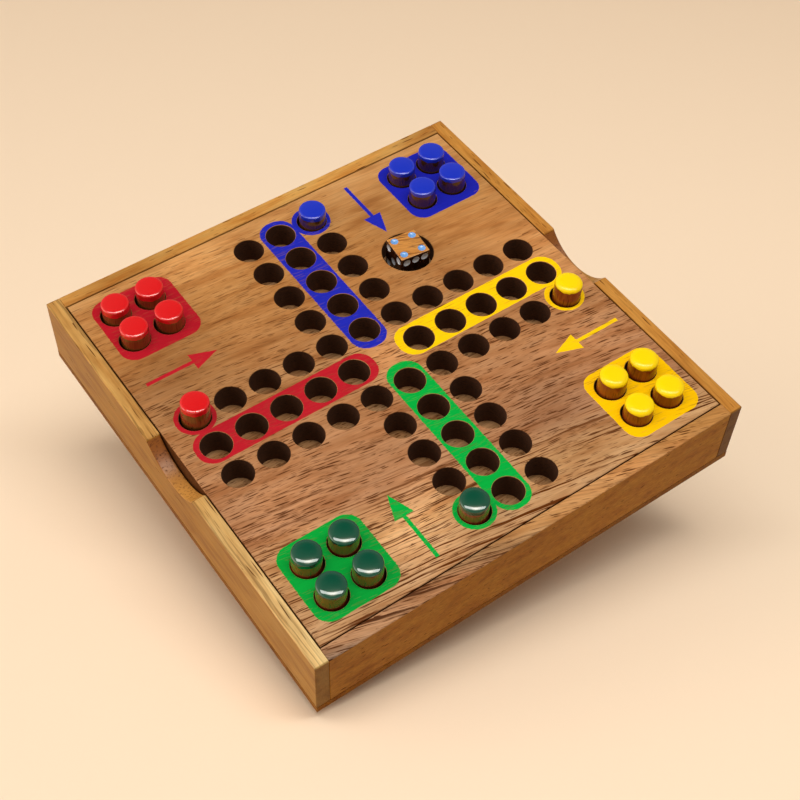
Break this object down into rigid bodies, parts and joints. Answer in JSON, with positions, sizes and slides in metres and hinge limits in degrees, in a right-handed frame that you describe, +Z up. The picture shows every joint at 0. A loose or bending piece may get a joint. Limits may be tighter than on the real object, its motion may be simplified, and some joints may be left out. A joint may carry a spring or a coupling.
{
  "type": "ludo board box",
  "caption": "Flat square wooden ludo box: a drilled board printed with the cross lifts out of a shallow tray by two thumb notches; round pegs and a die stand in it.",
  "frame": {"origin": "middle of the underside of the base panel", "axes": "+Z up; +X to the right-hand wall, where the yellow lane ends; +Y to the back wall, where the blue lane ends"},
  "size_m": [0.18, 0.18, 0.0388],
  "materials": {
    "base_ply": "plain plywood, lightly sanded",
    "left_wall_wood": "sanded and thinly varnished",
    "right_wall_wood": "sanded and thinly varnished",
    "front_wall_wood": "sanded and thinly varnished",
    "back_wall_wood": "sanded and thinly varnished",
    "support_wood": "sawn softwood",
    "backing_ply": "thin plywood, bare and sanded",
    "printed_board": "varnished hardwood with four printed colours",
    "die_wood": "tumbled and waxed, painted pips",
    "red_peg": "turned beech dowel, its tip dipped in red gloss paint",
    "blue_peg": "turned beech dowel, its tip dipped in blue gloss paint",
    "yellow_peg": "turned beech dowel, its tip dipped in yellow gloss paint",
    "green_peg": "turned beech dowel, its tip dipped in green gloss paint"
  },
  "bodies": {
    "box": {"base_panel": "base_ply", "left_wall": "left_wall_wood", "right_wall": "right_wall_wood", "front_wall": "front_wall_wood", "back_wall": "back_wall_wood", "support_front_left": "support_wood", "support_front_right": "support_wood", "support_back_left": "support_wood", "support_back_right": "support_wood"},
    "board": {"board": "printed_board", "board_backing": "backing_ply"},
    "die": {"die": "die_wood"},
    "peg_red_1": {"peg_red_1": "red_peg"},
    "peg_red_2": {"peg_red_2": "red_peg"},
    "peg_red_3": {"peg_red_3": "red_peg"},
    "peg_red_4": {"peg_red_4": "red_peg"},
    "peg_red_5": {"peg_red_5": "red_peg"},
    "peg_blue_1": {"peg_blue_1": "blue_peg"},
    "peg_blue_2": {"peg_blue_2": "blue_peg"},
    "peg_blue_3": {"peg_blue_3": "blue_peg"},
    "peg_blue_4": {"peg_blue_4": "blue_peg"},
    "peg_blue_5": {"peg_blue_5": "blue_peg"},
    "peg_yellow_1": {"peg_yellow_1": "yellow_peg"},
    "peg_yellow_2": {"peg_yellow_2": "yellow_peg"},
    "peg_yellow_3": {"peg_yellow_3": "yellow_peg"},
    "peg_yellow_4": {"peg_yellow_4": "yellow_peg"},
    "peg_yellow_5": {"peg_yellow_5": "yellow_peg"},
    "peg_green_1": {"peg_green_1": "green_peg"},
    "peg_green_2": {"peg_green_2": "green_peg"},
    "peg_green_3": {"peg_green_3": "green_peg"},
    "peg_green_4": {"peg_green_4": "green_peg"},
    "peg_green_5": {"peg_green_5": "green_peg"}
  },
  "joints": [
    {"name": "board_lift", "type": "slide", "parent": "box", "child": "board", "axis": [0, 0, 1], "range_m": [0, 0.04]},
    {"name": "die_lift", "type": "slide", "parent": "board", "child": "die", "axis": [0, 0, 1], "range_m": [0, 0.02]},
    {"name": "peg_red_1_lift", "type": "slide", "parent": "board", "child": "peg_red_1", "axis": [0, 0, 1], "range_m": [0, 0.025]},
    {"name": "peg_red_2_lift", "type": "slide", "parent": "board", "child": "peg_red_2", "axis": [0, 0, 1], "range_m": [0, 0.025]},
    {"name": "peg_red_3_lift", "type": "slide", "parent": "board", "child": "peg_red_3", "axis": [0, 0, 1], "range_m": [0, 0.025]},
    {"name": "peg_red_4_lift", "type": "slide", "parent": "board", "child": "peg_red_4", "axis": [0, 0, 1], "range_m": [0, 0.025]},
    {"name": "peg_red_5_lift", "type": "slide", "parent": "board", "child": "peg_red_5", "axis": [0, 0, 1], "range_m": [0, 0.025]},
    {"name": "peg_blue_1_lift", "type": "slide", "parent": "board", "child": "peg_blue_1", "axis": [0, 0, 1], "range_m": [0, 0.025]},
    {"name": "peg_blue_2_lift", "type": "slide", "parent": "board", "child": "peg_blue_2", "axis": [0, 0, 1], "range_m": [0, 0.025]},
    {"name": "peg_blue_3_lift", "type": "slide", "parent": "board", "child": "peg_blue_3", "axis": [0, 0, 1], "range_m": [0, 0.025]},
    {"name": "peg_blue_4_lift", "type": "slide", "parent": "board", "child": "peg_blue_4", "axis": [0, 0, 1], "range_m": [0, 0.025]},
    {"name": "peg_blue_5_lift", "type": "slide", "parent": "board", "child": "peg_blue_5", "axis": [0, 0, 1], "range_m": [0, 0.025]},
    {"name": "peg_yellow_1_lift", "type": "slide", "parent": "board", "child": "peg_yellow_1", "axis": [0, 0, 1], "range_m": [0, 0.025]},
    {"name": "peg_yellow_2_lift", "type": "slide", "parent": "board", "child": "peg_yellow_2", "axis": [0, 0, 1], "range_m": [0, 0.025]},
    {"name": "peg_yellow_3_lift", "type": "slide", "parent": "board", "child": "peg_yellow_3", "axis": [0, 0, 1], "range_m": [0, 0.025]},
    {"name": "peg_yellow_4_lift", "type": "slide", "parent": "board", "child": "peg_yellow_4", "axis": [0, 0, 1], "range_m": [0, 0.025]},
    {"name": "peg_yellow_5_lift", "type": "slide", "parent": "board", "child": "peg_yellow_5", "axis": [0, 0, 1], "range_m": [0, 0.025]},
    {"name": "peg_green_1_lift", "type": "slide", "parent": "board", "child": "peg_green_1", "axis": [0, 0, 1], "range_m": [0, 0.025]},
    {"name": "peg_green_2_lift", "type": "slide", "parent": "board", "child": "peg_green_2", "axis": [0, 0, 1], "range_m": [0, 0.025]},
    {"name": "peg_green_3_lift", "type": "slide", "parent": "board", "child": "peg_green_3", "axis": [0, 0, 1], "range_m": [0, 0.025]},
    {"name": "peg_green_4_lift", "type": "slide", "parent": "board", "child": "peg_green_4", "axis": [0, 0, 1], "range_m": [0, 0.025]},
    {"name": "peg_green_5_lift", "type": "slide", "parent": "board", "child": "peg_green_5", "axis": [0, 0, 1], "range_m": [0, 0.025]}
  ]
}
